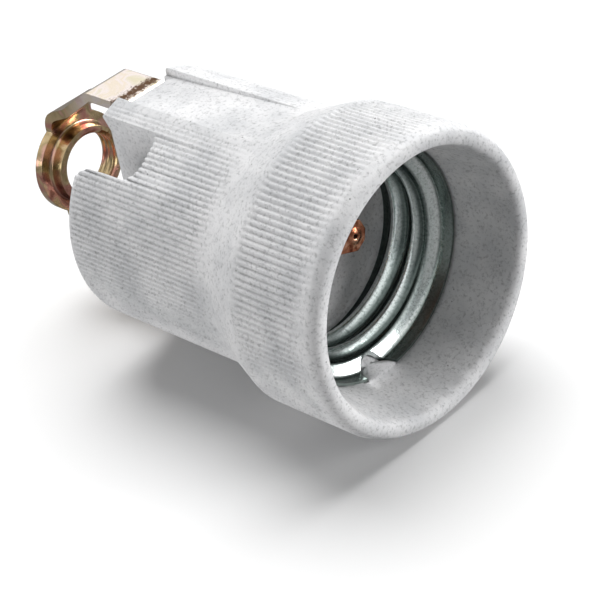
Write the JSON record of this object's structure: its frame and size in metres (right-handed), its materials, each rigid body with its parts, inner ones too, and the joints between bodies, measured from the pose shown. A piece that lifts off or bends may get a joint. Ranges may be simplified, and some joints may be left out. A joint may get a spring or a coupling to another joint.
{
  "type": "lamp holder",
  "caption": "Porcelain screw-cap lamp holder with a rolled metal screw shell, a sprung centre contact and a yellow-zinc steel fixing bracket with a threaded hole.",
  "frame": {"origin": "centre of the bracket's threaded hole, on the bracket's rear face", "axes": "+X along the lamp axis towards the mouth; the bracket's legs lie at +Z and -Z"},
  "size_m": [0.0656, 0.04, 0.04],
  "materials": {
    "porcelain": "unglazed, matt",
    "nickel_plated_brass": "rolled sheet, bright plating",
    "phosphor_bronze": "pressed sheet, bright",
    "brass": "pressed sheet",
    "plated_steel": "clear zinc plate",
    "yellow_zinc_steel": "yellow passivated zinc plate, iridescent"
  },
  "bodies": {
    "holder": {"ceramic_body": "porcelain", "screw_shell": "nickel_plated_brass", "centre_contact": "phosphor_bronze", "contact_rivet": "brass", "shell_rivet": "brass", "contact_terminal": "brass", "shell_terminal": "brass", "contact_clamp_plate": "plated_steel", "shell_clamp_plate": "plated_steel", "mounting_bracket": "yellow_zinc_steel", "bracket_screw_upper": "plated_steel", "bracket_screw_lower": "plated_steel", "spring_washer_upper": "plated_steel", "spring_washer_lower": "plated_steel", "square_nut_upper": "plated_steel", "square_nut_lower": "plated_steel"},
    "contact_screw": {"contact_terminal_screw": "plated_steel"},
    "shell_screw": {"shell_terminal_screw": "plated_steel"}
  },
  "joints": [
    {"name": "contact_screw_turn", "type": "hinge", "parent": "holder", "child": "contact_screw", "pos_m": [0.0372, -0.0098, -0.0042], "axis": [1, 0, 0], "continuous": true},
    {"name": "shell_screw_turn", "type": "hinge", "parent": "holder", "child": "shell_screw", "pos_m": [0.0372, 0.0098, -0.0042], "axis": [1, 0, 0], "continuous": true}
  ]
}
